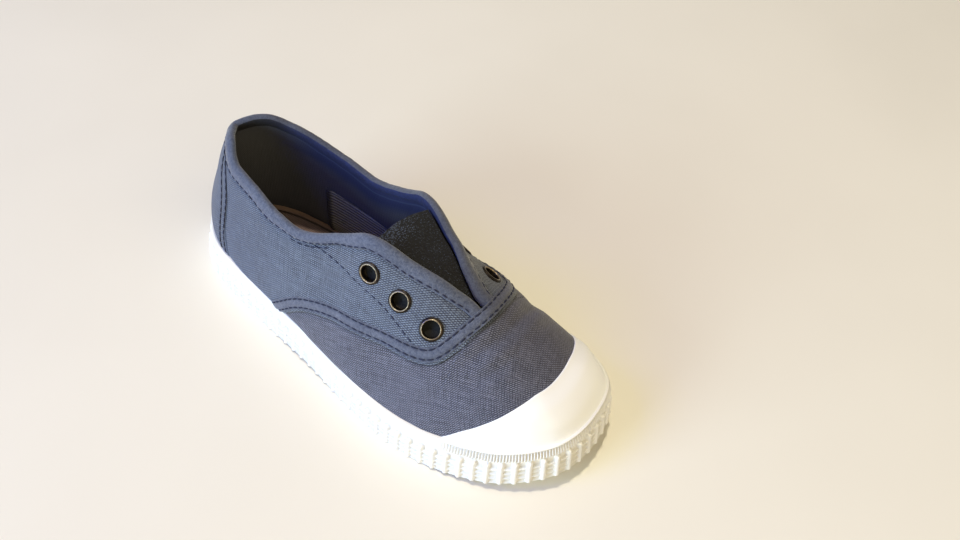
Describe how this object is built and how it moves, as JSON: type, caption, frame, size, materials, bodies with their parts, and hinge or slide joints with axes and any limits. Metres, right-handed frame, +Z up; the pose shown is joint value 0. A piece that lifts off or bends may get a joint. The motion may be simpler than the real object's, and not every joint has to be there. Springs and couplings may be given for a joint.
{
  "type": "canvas plimsoll",
  "caption": "Laceless canvas plimsoll for a child's right foot: rubber cup sole with ribbed side, smooth toe cap, rolled collar, elastic across the throat.",
  "frame": {"origin": "centre of the sole's footprint, on the floor that the shoe stands on", "axes": "+Z up from the floor, -Y towards the toe, +Y towards the heel, -X towards the outer (lateral) side, +X towards the inner (medial) side"},
  "size_m": [0.073, 0.1806, 0.0652],
  "materials": {
    "white_rubber": "satin off-white vulcanised rubber",
    "navy_canvas": "slate-navy plain-weave cotton canvas",
    "navy_binding": "soft navy cotton binding",
    "black_elastic": "black knitted elastic",
    "brown_sock": "brown textile sock",
    "aged_brass": "darkened brass with a bright inner lip"
  },
  "bodies": {
    "root": {"outsole": "white_rubber", "upper": "navy_canvas", "toe_cap": "white_rubber", "collar_binding": "navy_binding", "elastic_gusset": "black_elastic", "insole": "brown_sock", "eyelet_lateral_1": "aged_brass", "eyelet_lateral_2": "aged_brass", "eyelet_lateral_3": "aged_brass", "eyelet_medial_1": "aged_brass", "eyelet_medial_2": "aged_brass", "eyelet_medial_3": "aged_brass"}
  },
  "joints": []
}
